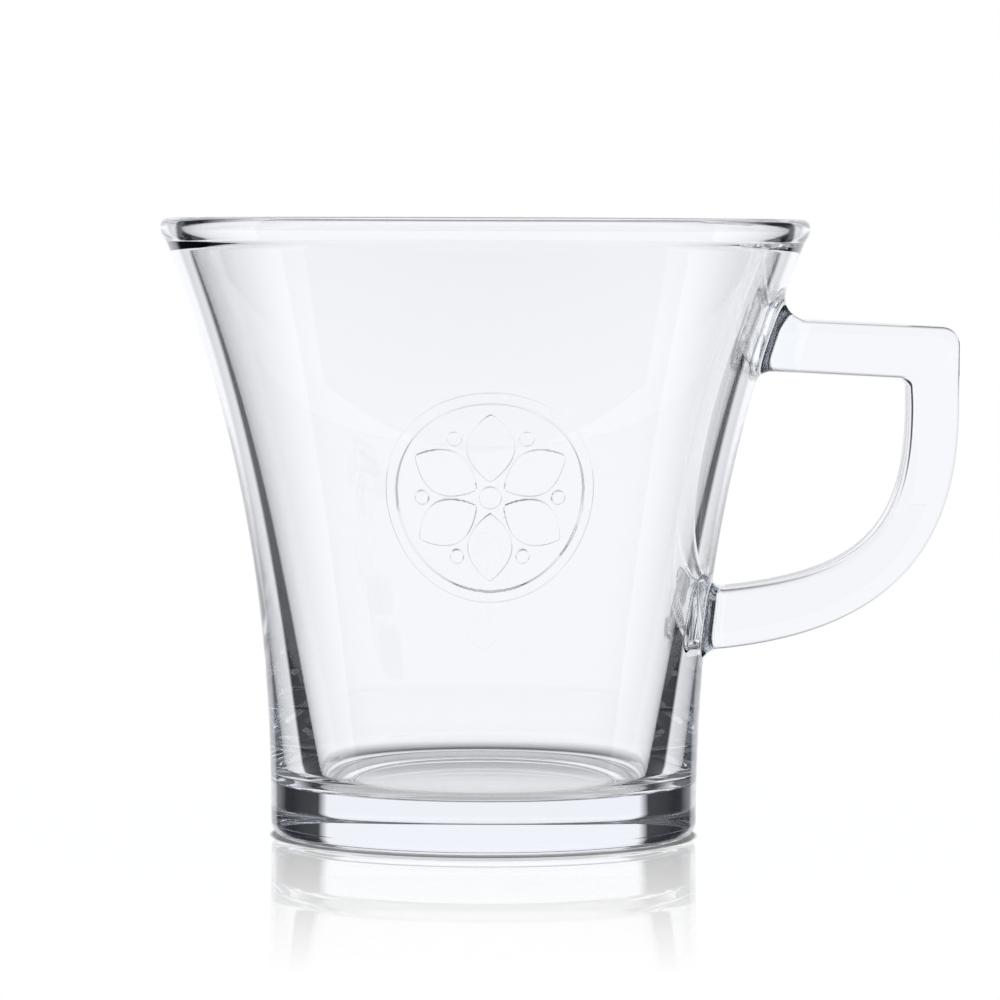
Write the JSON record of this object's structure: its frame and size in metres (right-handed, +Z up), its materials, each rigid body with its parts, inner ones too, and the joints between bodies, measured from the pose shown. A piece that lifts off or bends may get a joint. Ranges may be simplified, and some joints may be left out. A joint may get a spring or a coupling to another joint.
{
  "type": "glass coffee mug",
  "caption": "Flared clear glass mug with a rolled lip, a thick floor and a D-shaped glass handle joined to the wall at two flared seals.",
  "frame": {"origin": "on the table plane, below the middle of the overall box of cup and handle; the cup's own axis stands 10.5 mm from it towards -X", "axes": "+Z up along the cup's axis, +X out of the handle, +Y away from a viewer who has the handle on the right"},
  "size_m": [0.1126, 0.0916, 0.0872],
  "materials": {
    "clear_glass": "polished",
    "handle_glass": "polished",
    "seal_glass": "polished"
  },
  "bodies": {
    "root": {"mug_body": "clear_glass", "handle": "handle_glass", "upper_seal": "seal_glass", "lower_seal": "seal_glass"}
  },
  "joints": []
}
